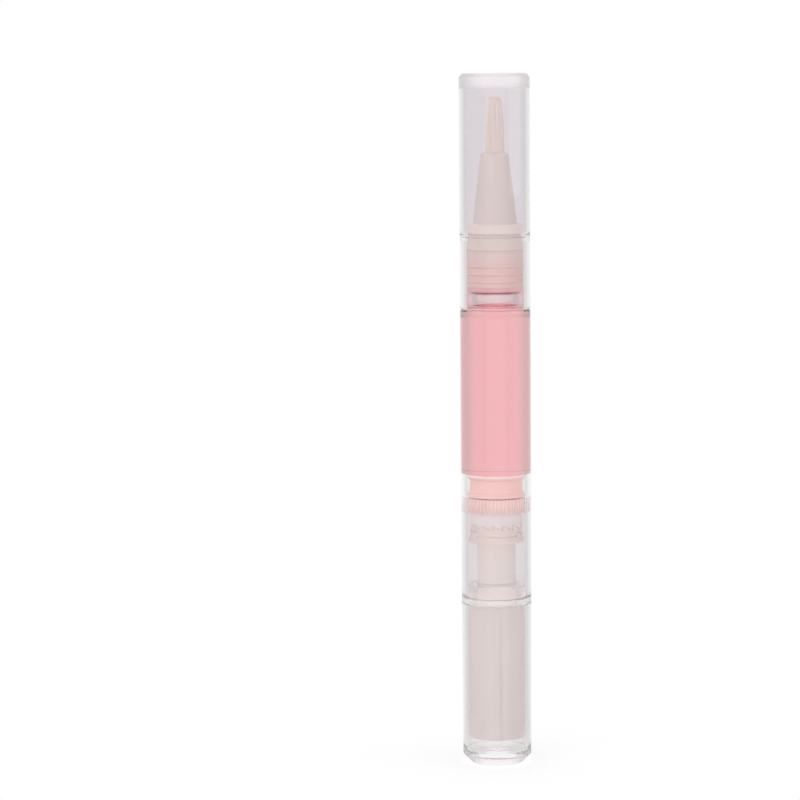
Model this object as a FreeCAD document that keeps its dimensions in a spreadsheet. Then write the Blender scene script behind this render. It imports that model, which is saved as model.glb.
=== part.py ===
import FreeCAD, Part
import math
import os
import Sketcher

# Nail oil pen, standing on its knob. The pen's axis is Z, the foot of the knob lies on Z = 0
# and every length is in millimetres.

SHEET = "Sizes"
FULL_TURN = 360.0
WHOLE_CUT = "ThroughAll"

# Driving sizes: name, value, what it measures.
SIZES = (
    ("body_diameter", 13.8, "outside of cap, barrel and collar"),
    ("press_clearance", 0.03, "radial room between pieces pressed together"),
    ("running_clearance", 0.06, "radial room between pieces that turn or slide"),

    ("knob_wall", 1.3, "wall of the knob at its rim"),
    ("knob_draft", 0.15, "how much the knob narrows towards its foot, on each side"),
    ("knob_foot_bevel", 1.6, "bevel round the foot"),
    ("knob_floor", 2.4, "thickness of the closed foot"),
    ("knob_corner_bevel", 0.8, "inner corner of the foot"),
    ("knob_rim_bevel", 0.2, "outer edge of the rim"),

    ("knob_gap", 0.2, "running gap between knob and collar"),
    ("collar_flange", 1.2, "height of the collar's visible ring"),
    ("collar_plug", 2.4, "length of the collar's plug in the barrel"),
    ("collar_bevel", 0.15, "outer edges of the collar and lead-in of its plug"),

    ("sleeve_rib", 0.22, "height of the ribs that hold the white tube in the knob"),
    ("sleeve_rib_count", 4, "number of those ribs"),
    ("sleeve_rib_width", 0.8, "width of those ribs"),
    ("sleeve_rib_stop", 1.6, "how far the ribs stop short of the knob's rim"),
    ("sleeve_wall", 1.0, "wall of the white tube"),
    ("sleeve_step", 1.3, "thickness of the step between tube and shank"),
    ("sleeve_end_gap", 2.8, "open end of the white tube above the knob's floor"),
    ("shank_wall", 1.0, "wall of the shank"),
    ("shank_rise", 2.4, "shank inside the ratchet sleeve"),
    ("driver_length", 9.6, "stretch of the shank that drives the rod's flats"),
    ("snap_bead_height", 0.9, "bead that keeps the shank in the collar"),
    ("snap_bead_rise", 0.2, "how far the bead stands out"),
    ("snap_gap", 0.2, "gap between the collar's plug and the bead"),
    ("key_count", 2, "keys that lock the ratchet sleeve to the shank"),
    ("key_width", 1.4, "width of those keys"),
    ("key_depth", 0.5, "depth of those keys"),

    ("barrel_length", 56.8, "clear tube up to its shoulder"),
    ("barrel_wall", 1.2, "wall of the clear tube"),
    ("barrel_bevel", 0.3, "outer edge of the shoulder"),
    ("shoulder_wall", 1.6, "end of the bore below the shoulder's face"),
    ("shoulder_slope", 1.1, "height of the cone from bore to neck"),
    ("neck_room", 0.1, "radial room between neck and cap"),
    ("neck_wall", 1.0, "wall of the neck"),
    ("neck_length", 14.9, "neck above the shoulder"),
    ("neck_relief", 0.2, "depth of the groove that the cap's bead snaps over"),
    ("neck_relief_length", 1.7, "height of that groove"),

    ("nut_depth", 16.8, "nut's flange above the barrel's open end"),
    ("nut_flange", 2.9, "height of the knurled flange"),
    ("nut_boss_room", 0.23, "radial room between the nut's boss and the ratchet sleeve"),
    ("nut_skirt", 2.15, "plain skirt between the flange and its crown of teeth"),
    ("nut_boss_length", 0.9, "length of the boss inside the ratchet sleeve"),
    ("nut_recess_room", 0.3, "radial room round the piston's tail"),
    ("nut_recess_depth", 1.9, "depth of the recess for the piston's tail"),
    ("knurl_count", 48, "ribs round the flange"),
    ("knurl_height", 0.3, "height of one rib"),
    ("knurl_root", 0.5, "width of one rib at its root"),
    ("knurl_crest", 0.26, "width of one rib at its crest"),

    ("tooth_count", 16, "teeth of the crown ratchet"),
    ("tooth_height", 0.8, "height of one tooth"),
    ("tooth_inset", 0.1, "teeth inside the edges of their ring"),
    ("tooth_gap", 0.1, "room between the two crowns"),

    ("ratchet_height", 3.55, "moulded ratchet sleeve with its teeth"),
    ("ratchet_room", 0.5, "radial room between the ratchet sleeve and the bore"),
    ("ratchet_wall", 1.37, "wall of the ratchet sleeve"),
    ("ratchet_foot", 0.7, "height of the ratchet sleeve's foot"),
    ("ratchet_foot_rise", 0.3, "how far that foot stands out"),
    ("ratchet_slot", 0.35, "height of one slot in the ratchet sleeve"),
    ("ratchet_leaf", 0.45, "leaf between two slots"),

    ("rod_room", 0.3, "radial room between the rod and the shank's hollow"),
    ("rod_length", 44.2, "threaded stretch of the rod"),
    ("rod_foot_room", 4.7, "rod's lower end above the knob's floor"),
    ("rod_gap", 0.1, "room between the stem's end and the piston's tail"),
    ("rod_neck_length", 1.8, "neck behind the rod's head"),
    ("rod_head_length", 1.2, "head that snaps into the piston"),

    ("piston_length", 4.4, "piston between the ends of its lips"),
    ("piston_gap", 0.3, "room between the nut and the piston"),
    ("piston_clearance", 0.04, "radial room of the lips in the bore"),
    ("piston_lip", 0.6, "height of one lip"),
    ("piston_waist", 0.45, "depth of the groove between the lips"),
    ("piston_tail", 2.0, "length of the tail in the nut's recess"),
    ("piston_tail_wall", 1.7, "wall of the tail round the rod's head"),
    ("piston_cup", 2.7, "depth of the cup in the front"),
    ("piston_cup_rim", 0.56, "lip round the cup"),
    ("piston_cup_slope", 1.9, "how far the cup narrows to its floor"),
    ("socket_clearance", 0.1, "room round the rod's head in the piston"),

    ("oil_film", 0.02, "room round the oil"),
    ("plug_oil_height", 5.1, "oil held inside the holder's plug"),
    ("plug_oil_depth", 0.9, "oil between the plug's end and the air bubble"),
    ("bubble_height", 2.0, "air bubble under the plug, at its middle"),
    ("bubble_wall", 0.9, "oil between the bubble and the neck"),

    ("plug_length", 10.5, "holder's plug inside the neck"),
    ("plug_wall", 0.9, "wall of the plug"),
    ("plug_seat", 3.4, "stretch of the plug that fills the neck's mouth"),
    ("seal_count", 3, "sealing rings"),
    ("seal_rise", 0.17, "how far a sealing ring stands out"),
    ("seal_height", 0.6, "height of one sealing ring"),
    ("seal_pitch", 1.45, "spacing of the sealing rings"),
    ("seal_start", 0.8, "first ring above the plug's end"),
    ("flange_height", 1.7, "holder's flange on the neck"),
    ("flange_bevel", 0.25, "edges of that flange"),
    ("flange_step", 1.15, "flange beyond the cone's foot"),
    ("cone_height", 13.8, "height of the cone"),
    ("cone_lip", 0.6, "wall of the cone at its mouth"),
    ("cone_bevel", 0.2, "edge of the cone's mouth"),
    ("web_rise", 0.9, "web's underside above the neck"),
    ("web_height", 1.6, "web that carries the bristles' root"),

    ("tube_diameter", 1.6, "outside of the feed tube"),
    ("tube_wall", 0.3, "wall of the feed tube"),

    ("root_height", 2.4, "fused root of the bristles"),
    ("tuft_diameter", 4.16, "bristles in the cone's mouth"),

    ("cap_length", 45.8, "cap from its rim to its top"),
    ("cap_wall", 1.2, "wall of the cap"),
    ("cap_top", 2.1, "thickness of the cap's top"),
    ("cap_tip_room", 2.1, "cap's ceiling above the bristles"),
    ("cap_bevel", 0.7, "outer edge of the cap's top"),
    ("cap_ceiling_bevel", 0.5, "inner corner of the cap's top"),
    ("cap_rim_bevel", 0.15, "outer edge of the cap's rim"),
    ("cap_bead", 0.14, "how far the snap bead stands in"),
    ("cap_bead_height", 1.5, "height of the snap bead"),
)

# Outline of the free bristles: share of their length, share of their radius.
TUFT_SHARES = ((0.39, 0.96), (0.74, 0.84), (0.89, 0.69), (1.0, 0.53))

# The feed tube reaches below the web by a share of the plug, and above the cone's mouth by a share
# of the free bristles.
TUBE_DIP_SHARE = 0.48
TUBE_RISE_SHARE = 0.31

# Shares of the rod's radius: its flats, its neck, its head and the head's small end.
ROD_FLAT_SHARE = 0.76
ROD_NECK_SHARE = 0.48
ROD_HEAD_SHARE = 0.72
ROD_TIP_SHARE = 0.44

# A slot spans this share of the ratchet sleeve's width.
SLOT_WIDTH_SHARE = 0.71

# A tooth fills this share of its pitch, and its neighbour's upright face the rest.
TOOTH_PITCH_SHARE = 0.94

# A snap bead rises and falls over this share of its height.
BEAD_SLOPE_SHARE = 0.35

# The bubble's flat top and floor, as a share of its radius.
BUBBLE_FLAT_SHARE = 0.78


class Size:
    """A length as a formula over the sheet's cells, to which sketches and features are bound."""

    def __init__(self, text):
        self.text = str(text)

    def joined(self, sign, other):
        return Size(f"({self.text} {sign} {other.text if isinstance(other, Size) else other})")

    def __add__(self, other):
        return self.joined("+", other)

    def __sub__(self, other):
        return self.joined("-", other)

    def __mul__(self, other):
        return self.joined("*", other)

    def __truediv__(self, other):
        return self.joined("/", other)

    def __neg__(self):
        return Size(f"(0 - {self.text})")


class SheetSizes:
    """Gives each cell of the sheet by its name."""

    def __getattr__(self, name):
        return Size(f"{SHEET}.{name}")


size = SheetSizes()
AXIS = Size(0)

# Radii, from the outside in: knob and barrel, then what turns inside them.
body_radius = size.body_diameter / 2
knob_bore = body_radius - size.knob_wall
sleeve_radius = knob_bore - size.press_clearance - size.sleeve_rib
sleeve_bore = sleeve_radius - size.sleeve_wall
barrel_bore = body_radius - size.barrel_wall
ratchet_radius = barrel_bore - size.ratchet_room
ratchet_bore = ratchet_radius - size.ratchet_wall
shank_radius = ratchet_bore - size.press_clearance
shank_bore = shank_radius - size.shank_wall
rod_radius = shank_bore - size.rod_room
rod_flat = rod_radius * ROD_FLAT_SHARE
rod_neck = rod_radius * ROD_NECK_SHARE
rod_head = rod_radius * ROD_HEAD_SHARE
socket = rod_head + size.socket_clearance
piston_tail = socket + size.piston_tail_wall
piston_lip = barrel_bore - size.piston_clearance
cup_mouth = piston_lip - size.piston_cup_rim
cup_foot = cup_mouth - size.piston_cup_slope

# Radii under the cap: cap, neck, holder and bristles.
cap_bore = body_radius - size.cap_wall
cap_bead = cap_bore - size.cap_bead
neck_radius = cap_bore - size.neck_room
neck_bore = neck_radius - size.neck_wall
seal_radius = neck_bore - size.press_clearance
plug_radius = seal_radius - size.seal_rise
plug_bore = plug_radius - size.plug_wall
flange_radius = cap_bead - size.running_clearance
tuft_radius = size.tuft_diameter / 2
tuft_hole = tuft_radius + size.press_clearance
cone_mouth = tuft_hole + size.cone_lip
bubble_radius = neck_bore - size.bubble_wall
bubble_flat = bubble_radius * BUBBLE_FLAT_SHARE
tube_radius = size.tube_diameter / 2
tube_hole = tube_radius + size.press_clearance

# The knob is as long as the screw rod needs: the rod's stretch above the knob's rim follows from
# the pieces that it passes through, and the rest is inside the knob.
rod_above_rim = (
    size.knob_gap + size.collar_flange + size.nut_depth + size.nut_flange
    + size.piston_gap - size.piston_tail - size.rod_gap
)
knob_rim = size.knob_floor + size.rod_foot_room + size.rod_length - rod_above_rim

# Heights where pieces meet, from the foot up.
sleeve_floor = size.knob_floor + size.sleeve_end_gap
collar_floor = knob_rim + size.knob_gap
barrel_floor = collar_floor + size.collar_flange
collar_end = barrel_floor + size.collar_plug
nut_floor = barrel_floor + size.nut_depth
nut_top = nut_floor + size.nut_flange
skirt_end = nut_floor - size.nut_skirt
ratchet_floor = skirt_end - size.tooth_gap - size.ratchet_height
crown_floor = skirt_end - size.tooth_gap - size.tooth_height
shank_end = ratchet_floor + size.shank_rise
driver_floor = shank_end - size.driver_length
piston_floor = nut_top + size.piston_gap
piston_tail_end = piston_floor - size.piston_tail
piston_top = piston_floor + size.piston_length
cup_floor = piston_top - size.piston_cup
rod_end = knob_rim + rod_above_rim
rod_foot = rod_end - size.rod_length
head_floor = rod_end + size.rod_neck_length
head_end = head_floor + size.rod_head_length
shoulder = barrel_floor + size.barrel_length
bore_end = shoulder - size.shoulder_wall
neck_start = bore_end + size.shoulder_slope
neck_top = shoulder + size.neck_length
plug_end = neck_top - size.plug_length
bubble_top = plug_end - size.plug_oil_depth
bubble_middle = bubble_top - size.bubble_height / 2
bubble_floor = bubble_top - size.bubble_height
cone_floor = neck_top + size.flange_height
cone_end = cone_floor + size.cone_height
web_floor = neck_top + size.web_rise
web_top = web_floor + size.web_height
root_top = web_top + size.root_height
cap_end = shoulder + size.cap_length
ceiling = cap_end - size.cap_top
tuft_tip = ceiling - size.cap_tip_room
tube_end = cone_end + (tuft_tip - cone_end) * TUBE_RISE_SHARE
tube_foot = web_floor - size.plug_length * TUBE_DIP_SHARE

doc = FreeCAD.newDocument("nail_oil_pen")


def make_sheet():
    """Write the driving sizes into the sheet, one named cell each."""
    sheet = doc.addObject("Spreadsheet::Sheet", SHEET)
    for row, (alias, value, meaning) in enumerate(SIZES, start=1):
        sheet.set(f"A{row}", meaning)
        sheet.set(f"B{row}", str(value))
        sheet.setAlias(f"B{row}", alias)
    doc.recompute()
    return sheet


sheet = make_sheet()


def number(length):
    """Value of a formula at the sheet's present sizes."""
    return float(sheet.evalExpression(length.text))


def new_body(node):
    """An empty body whose label is the node's name."""
    body = doc.addObject("PartDesign::Body", node)
    body.Label = node
    return body


def origin_part(body, role):
    """One of the body's own origin planes or axes."""
    return next(part for part in body.Origin.OriginFeatures if part.Role == role)


def new_sketch(body, title, role, rise=None):
    """A sketch on one of the body's origin planes, lifted off it by rise."""
    sketch = body.newObject("Sketcher::SketchObject", title)
    sketch.AttachmentSupport = [(origin_part(body, role), "")]
    sketch.MapMode = "FlatFace"
    if rise is not None:
        sketch.setExpression("AttachmentOffset.Base.z", rise.text)
    return sketch


def place_point(sketch, line, end, across, up):
    """Tie a point of the sketch to the origin by its two formulas."""
    for kind, axis, length in (("DistanceX", -2, across), ("DistanceY", -1, up)):
        if length is AXIS:
            sketch.addConstraint(Sketcher.Constraint("PointOnObject", line, end, axis))
            continue
        mark = sketch.addConstraint(Sketcher.Constraint(kind, -1, 1, line, end, number(length)))
        sketch.setExpression(f"Constraints[{mark}]", length.text)


def draw_outline(sketch, points):
    """A closed outline of straight lines through points given as formulas."""
    spots = [FreeCAD.Vector(number(across), number(up), 0) for across, up in points]
    lines = [
        sketch.addGeometry(Part.LineSegment(spot, spots[(place + 1) % len(spots)]))
        for place, spot in enumerate(spots)
    ]
    for place, line in enumerate(lines):
        follower = lines[(place + 1) % len(lines)]
        sketch.addConstraint(Sketcher.Constraint("Coincident", line, 2, follower, 1))
    for line, (across, up) in zip(lines, points):
        place_point(sketch, line, 1, across, up)


def draw_double_d(sketch, radius, reach):
    """A circle with two flats at reach from the axis, as on the rod and in the hole that drives it."""
    swing = math.asin(number(reach) / number(radius))
    span = number(radius) * math.cos(swing)
    circle = Part.Circle(FreeCAD.Vector(0, 0, 0), FreeCAD.Vector(0, 0, 1), number(radius))
    right = sketch.addGeometry(Part.ArcOfCircle(circle, -swing, swing))
    left = sketch.addGeometry(Part.ArcOfCircle(circle, math.pi - swing, math.pi + swing))
    flats = []
    for sign in (1, -1):
        start = FreeCAD.Vector(sign * span, sign * number(reach), 0)
        finish = FreeCAD.Vector(-sign * span, sign * number(reach), 0)
        flats.append(sketch.addGeometry(Part.LineSegment(start, finish)))
    top, bottom = flats
    for arc in (right, left):
        sketch.addConstraint(Sketcher.Constraint("Coincident", arc, 3, -1, 1))
        mark = sketch.addConstraint(Sketcher.Constraint("Radius", arc, number(radius)))
        sketch.setExpression(f"Constraints[{mark}]", radius.text)
    for first, second in ((right, top), (top, left), (left, bottom), (bottom, right)):
        sketch.addConstraint(Sketcher.Constraint("Coincident", first, 2, second, 1))
    for line, height in ((top, reach), (bottom, -reach)):
        sketch.addConstraint(Sketcher.Constraint("Horizontal", line))
        mark = sketch.addConstraint(Sketcher.Constraint("DistanceY", -1, 1, line, 1, number(height)))
        sketch.setExpression(f"Constraints[{mark}]", height.text)


def turn(body, title, points):
    """Turn an outline of radius and height about the pen's axis."""
    sketch = new_sketch(body, title + "_outline", "XZ_Plane")
    draw_outline(sketch, points)
    feature = body.newObject("PartDesign::Revolution", title)
    feature.Profile = sketch
    feature.ReferenceAxis = (sketch, ["V_Axis"])
    feature.Angle = FULL_TURN
    doc.recompute()
    return feature


def pad(body, sketch, title, height):
    """Raise a sketch along its normal."""
    feature = body.newObject("PartDesign::Pad", title)
    feature.Profile = sketch
    feature.setExpression("Length", height.text)
    doc.recompute()
    return feature


def pocket(body, sketch, title, depth=None):
    """Cut a sketch away along its normal, or through everything on both sides of it."""
    before = body.Shape.Volume
    feature = body.newObject("PartDesign::Pocket", title)
    feature.Profile = sketch
    if depth is None:
        feature.SideType = "Symmetric"
        feature.Type = WHOLE_CUT
    else:
        feature.Reversed = True
        feature.setExpression("Length", depth.text)
    doc.recompute()
    if not body.Shape.Volume < before:
        raise RuntimeError(f"{title} cuts nothing")
    return feature


def repeat_round(body, feature, title, count):
    """Repeat a feature evenly round the pen's axis."""
    pattern = body.newObject("PartDesign::PolarPattern", title)
    pattern.Originals = [feature]
    pattern.Axis = (origin_part(body, "Z_Axis"), [""])
    pattern.Angle = FULL_TURN
    pattern.setExpression("Occurrences", count.text)
    body.Tip = pattern
    doc.recompute()
    return pattern


def ring_edges(feature, places):
    """Names of the round edges that lie at the given radii and heights."""
    close = number(size.press_clearance) / 10
    names = []
    for radius, height in places:
        found = [
            f"Edge{place}"
            for place, edge in enumerate(feature.Shape.Edges, start=1)
            if isinstance(edge.Curve, Part.Circle)
            and abs(edge.Curve.Radius - number(radius)) < close
            and abs(edge.Curve.Center.z - number(height)) < close
        ]
        if not found:
            raise RuntimeError(f"no edge at {radius.text}, {height.text}")
        names += found
    return names


def bevel(body, title, width, places):
    """Bevel the ring edges at the given radii and heights."""
    base = body.Tip
    feature = body.newObject("PartDesign::Chamfer", title)
    feature.Base = (base, ring_edges(base, places))
    feature.setExpression("Size", width.text)
    doc.recompute()
    return feature


def crown(body, title, floor, direction):
    """Saw teeth round a ring, rising from floor along direction (1 up, -1 down).

    The upper and lower crowns share one slope, so that they mesh: the lower one has its upright
    faces behind as it turns forwards, and the upper one has them in front.
    """
    ends = []
    inner = ratchet_bore + size.tooth_inset
    outer = ratchet_radius - size.tooth_inset
    for side, radius in (("inner", inner), ("outer", outer)):
        sketch = new_sketch(body, f"{title}_{side}", "XZ_Plane", radius)
        half = radius * math.pi * TOOTH_PITCH_SHARE / size.tooth_count
        upright = -half if direction > 0 else half
        tip = floor + size.tooth_height * direction
        draw_outline(sketch, [(-half, floor), (half, floor), (upright, tip)])
        ends.append(sketch)
    tooth = body.newObject("PartDesign::AdditiveLoft", title + "_tooth")
    tooth.Profile = ends[0]
    tooth.Sections = [ends[1]]
    tooth.Ruled = True
    doc.recompute()
    return repeat_round(body, tooth, title, size.tooth_count)


def make_knob_shell():
    """Clear knob: a tapered cup with a thick bevelled foot."""
    body = new_body("knob_shell")
    foot = body_radius - size.knob_draft
    turn(body, "knob_wall", [
        (AXIS, AXIS),
        (foot - size.knob_foot_bevel, AXIS),
        (foot, size.knob_foot_bevel),
        (body_radius, knob_rim),
        (knob_bore, knob_rim),
        (knob_bore, size.knob_floor),
        (AXIS, size.knob_floor),
    ])
    bevel(body, "knob_rim", size.knob_rim_bevel, [(body_radius, knob_rim)])
    bevel(body, "knob_corner", size.knob_corner_bevel, [(knob_bore, size.knob_floor)])
    return body


def make_drive_sleeve():
    """White tube pressed into the knob; its shank reaches up into the barrel and drives the rod."""
    body = new_body("drive_sleeve")
    bead_floor = collar_end + size.snap_gap
    bead_slope = size.snap_bead_height * BEAD_SLOPE_SHARE
    bead_end = bead_floor + size.snap_bead_height
    bead = shank_radius + size.snap_bead_rise
    turn(body, "sleeve_wall", [
        (sleeve_bore, sleeve_floor),
        (sleeve_radius, sleeve_floor),
        (sleeve_radius, knob_rim),
        (shank_radius, knob_rim),
        (shank_radius, bead_floor),
        (bead, bead_floor + bead_slope),
        (bead, bead_end - bead_slope),
        (shank_radius, bead_end),
        (shank_radius, shank_end),
        (AXIS, shank_end),
        (AXIS, driver_floor),
        (shank_bore, driver_floor),
        (shank_bore, knob_rim - size.sleeve_step),
        (sleeve_bore, knob_rim - size.sleeve_step),
    ])
    drive = new_sketch(body, "driver_outline", "XY_Plane", driver_floor)
    draw_double_d(drive, rod_radius + size.running_clearance, rod_flat + size.running_clearance)
    pocket(body, drive, "driver_hole", size.driver_length)
    keys = new_sketch(body, "keyway_outline", "XY_Plane", ratchet_floor)
    half = size.key_width / 2 + size.press_clearance
    deep = shank_radius - size.key_depth - size.press_clearance
    draw_outline(keys, [
        (deep, -half),
        (ratchet_radius, -half),
        (ratchet_radius, half),
        (deep, half),
    ])
    keyway = pocket(body, keys, "keyway", shank_end - ratchet_floor)
    repeat_round(body, keyway, "keyways", size.key_count)
    rib = new_sketch(body, "rib_outline", "XY_Plane", sleeve_floor)
    reach = knob_bore - size.press_clearance
    root = sleeve_radius - size.sleeve_wall / 2
    half = size.sleeve_rib_width / 2
    draw_outline(rib, [(root, -half), (reach, -half), (reach, half), (root, half)])
    first = pad(body, rib, "rib", knob_rim - sleeve_floor - size.sleeve_rib_stop)
    repeat_round(body, first, "ribs", size.sleeve_rib_count)
    return body


def make_rear_collar():
    """Translucent ring between barrel and knob, with a plug in the barrel and a bearing bore."""
    body = new_body("rear_collar")
    bore = shank_radius + size.running_clearance
    plug = barrel_bore - size.press_clearance
    turn(body, "collar_ring", [
        (bore, collar_floor),
        (body_radius, collar_floor),
        (body_radius, barrel_floor),
        (plug, barrel_floor),
        (plug, collar_end),
        (bore, collar_end),
    ])
    bevel(body, "collar_edges", size.collar_bevel, [
        (body_radius, collar_floor),
        (body_radius, barrel_floor),
        (plug, collar_end),
    ])
    return body


def make_barrel():
    """Clear barrel: straight tube, flat shoulder and narrower neck with a groove under its mouth."""
    body = new_body("barrel")
    groove = neck_radius - size.neck_relief
    turn(body, "barrel_wall", [
        (barrel_bore, barrel_floor),
        (body_radius, barrel_floor),
        (body_radius, shoulder),
        (neck_radius, shoulder),
        (neck_radius, neck_top - size.neck_relief_length),
        (groove, neck_top - size.neck_relief_length),
        (groove, neck_top),
        (neck_bore, neck_top),
        (neck_bore, neck_start),
        (barrel_bore, bore_end),
    ])
    bevel(body, "barrel_shoulder", size.barrel_bevel, [(body_radius, shoulder)])
    return body


def make_screw_nut():
    """Nut pressed into the barrel by its knurled flange, with a skirt and a crown of teeth below."""
    body = new_body("screw_nut")
    bore = rod_radius + size.running_clearance
    boss = ratchet_bore - size.nut_boss_room
    recess = piston_tail + size.nut_recess_room
    crest = barrel_bore - size.press_clearance
    land = crest - size.knurl_height
    turn(body, "nut_flange", [
        (bore, skirt_end - size.nut_boss_length),
        (boss, skirt_end - size.nut_boss_length),
        (boss, skirt_end),
        (ratchet_radius, skirt_end),
        (ratchet_radius, nut_floor),
        (land, nut_floor),
        (land, nut_top),
        (recess, nut_top),
        (recess, nut_top - size.nut_recess_depth),
        (bore, nut_top - size.nut_recess_depth),
    ])
    knurl = new_sketch(body, "knurl_outline", "XY_Plane", nut_floor)
    root = land - size.knurl_height
    draw_outline(knurl, [
        (root, -size.knurl_root / 2),
        (crest, -size.knurl_crest / 2),
        (crest, size.knurl_crest / 2),
        (root, size.knurl_root / 2),
    ])
    first = pad(body, knurl, "knurl_rib", size.nut_flange)
    repeat_round(body, first, "knurl", size.knurl_count)
    crown(body, "nut_crown", skirt_end, -1)
    return body


def make_ratchet_spring():
    """Moulded sleeve on the shank: keyed foot, slotted spring and a crown of ratchet teeth."""
    body = new_body("ratchet_spring")
    foot = ratchet_radius + size.ratchet_foot_rise
    foot_top = ratchet_floor + size.ratchet_foot
    turn(body, "ratchet_wall", [
        (ratchet_bore, ratchet_floor),
        (foot, ratchet_floor),
        (foot, foot_top),
        (ratchet_radius, foot_top),
        (ratchet_radius, crown_floor),
        (ratchet_bore, crown_floor),
    ])
    half = ratchet_radius * SLOT_WIDTH_SHARE
    pitch = size.ratchet_slot + size.ratchet_leaf
    for level, role in enumerate(("XZ_Plane", "YZ_Plane")):
        low = foot_top + size.ratchet_leaf + pitch * level
        high = low + size.ratchet_slot
        slot = new_sketch(body, f"slot_outline_{level}", role)
        draw_outline(slot, [(-half, low), (half, low), (half, high), (-half, high)])
        pocket(body, slot, f"slot_{level}")
    keys = new_sketch(body, "key_outline", "XY_Plane", ratchet_floor)
    half = size.key_width / 2
    deep = shank_radius - size.key_depth
    draw_outline(keys, [
        (deep, -half),
        (ratchet_radius, -half),
        (ratchet_radius, half),
        (deep, half),
    ])
    key = pad(body, keys, "key", size.ratchet_foot)
    repeat_round(body, key, "keys", size.key_count)
    crown(body, "ratchet_crown", crown_floor, 1)
    return body


def make_screw_rod():
    """Screw rod with two flats and a snap head at its upper end."""
    body = new_body("screw_rod")
    stem = new_sketch(body, "stem_outline", "XY_Plane", rod_foot)
    draw_double_d(stem, rod_radius, rod_flat)
    pad(body, stem, "stem", size.rod_length)
    turn(body, "head", [
        (AXIS, rod_end),
        (rod_neck, rod_end),
        (rod_neck, head_floor),
        (rod_head, head_floor),
        (rod_radius * ROD_TIP_SHARE, head_end),
        (AXIS, head_end),
    ])
    return body


def make_piston():
    """Wiper piston: two lips, a cupped front and a tail that holds the rod's head."""
    body = new_body("piston")
    waist = piston_lip - size.piston_waist
    mouth = rod_neck + size.socket_clearance
    lower = piston_floor + size.piston_lip
    upper = piston_top - size.piston_lip
    turn(body, "piston_wall", [
        (mouth, piston_tail_end),
        (piston_tail, piston_tail_end),
        (piston_tail, piston_floor),
        (piston_lip, piston_floor),
        (piston_lip, lower),
        (waist, lower + size.piston_waist),
        (waist, upper - size.piston_waist),
        (piston_lip, upper),
        (piston_lip, piston_top),
        (cup_mouth, piston_top),
        (cup_foot, cup_floor),
        (AXIS, cup_floor),
        (AXIS, head_end + size.socket_clearance),
        (socket, head_end + size.socket_clearance),
        (socket, head_floor - size.socket_clearance),
        (mouth, head_floor - size.socket_clearance),
    ])
    return body


def make_oil_fill():
    """The oil, from the piston's cup up into the neck, hollowed by the lower half of the bubble."""
    body = new_body("oil_fill")
    film = size.oil_film
    bore = barrel_bore - film
    neck = neck_bore - film
    turn(body, "oil_column", [
        (AXIS, cup_floor + film),
        (cup_foot - film, cup_floor + film),
        (cup_mouth - film, piston_top + film),
        (bore, piston_top + film),
        (bore, bore_end),
        (neck, neck_start),
        (neck, bubble_middle - film),
        (bubble_radius, bubble_middle - film),
        (bubble_flat, bubble_floor),
        (AXIS, bubble_floor),
    ])
    return body


def make_plug_oil():
    """The oil in and under the holder's plug, hollowed by the upper half of the bubble."""
    body = new_body("plug_oil")
    film = size.oil_film
    bore = plug_bore - film
    neck = neck_bore - film
    level = plug_end + size.plug_oil_height
    turn(body, "plug_oil_column", [
        (AXIS, bubble_top),
        (bubble_flat, bubble_top),
        (bubble_radius, bubble_middle + film),
        (neck, bubble_middle + film),
        (neck, plug_end - film),
        (bore, plug_end - film),
        (bore, level),
        (AXIS, level),
    ])
    return body


def make_brush_holder():
    """White holder: cone with a mouth for the bristles, flange, and a hollow plug with seals."""
    body = new_body("brush_holder")
    outline = [(plug_bore, plug_end), (plug_radius, plug_end)]
    for place in range(int(number(size.seal_count))):
        low = plug_end + size.seal_start + size.seal_pitch * place
        crest = low + size.seal_height / 2
        outline += [(plug_radius, low), (seal_radius, crest), (plug_radius, low + size.seal_height)]
    outline += [
        (plug_radius, neck_top - size.plug_seat),
        (seal_radius, neck_top - size.plug_seat + size.seal_rise),
        (seal_radius, neck_top),
        (flange_radius, neck_top),
        (flange_radius, cone_floor),
        (flange_radius - size.flange_step, cone_floor),
        (cone_mouth, cone_end),
        (tuft_hole, cone_end),
        (tuft_hole, web_top),
        (tube_hole, web_top),
        (tube_hole, web_floor),
        (plug_bore, web_floor),
    ]
    turn(body, "holder_wall", outline)
    bevel(body, "flange_edge", size.flange_bevel, [(flange_radius, cone_floor)])
    bevel(body, "cone_mouth", size.cone_bevel, [(cone_mouth, cone_end)])
    return body


def make_feed_tube():
    """Thin tube that carries the oil from the neck into the bristles."""
    body = new_body("feed_tube")
    bore = tube_radius - size.tube_wall
    turn(body, "tube_wall", [
        (bore, tube_foot),
        (tube_radius, tube_foot),
        (tube_radius, tube_end),
        (bore, tube_end),
    ])
    return body


def make_bristle_root():
    """Fused root of the bristles, seated on the holder's web round the feed tube."""
    body = new_body("bristle_root")
    turn(body, "root_ring", [
        (tube_hole, web_top),
        (tuft_radius, web_top),
        (tuft_radius, root_top),
        (tube_hole, root_top),
    ])
    return body


def make_bristle_tuft():
    """The bristles as one tuft: straight in the holder, then drawn in to a blunt tip."""
    body = new_body("bristle_tuft")
    free = tuft_tip - cone_end
    outline = [(tube_hole, root_top), (tuft_radius, root_top), (tuft_radius, cone_end)]
    for length_share, radius_share in TUFT_SHARES:
        outline.append((tuft_radius * radius_share, cone_end + free * length_share))
    room = tube_end + size.press_clearance
    outline += [(AXIS, tuft_tip), (AXIS, room), (tube_hole, room)]
    turn(body, "tuft", outline)
    return body


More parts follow.
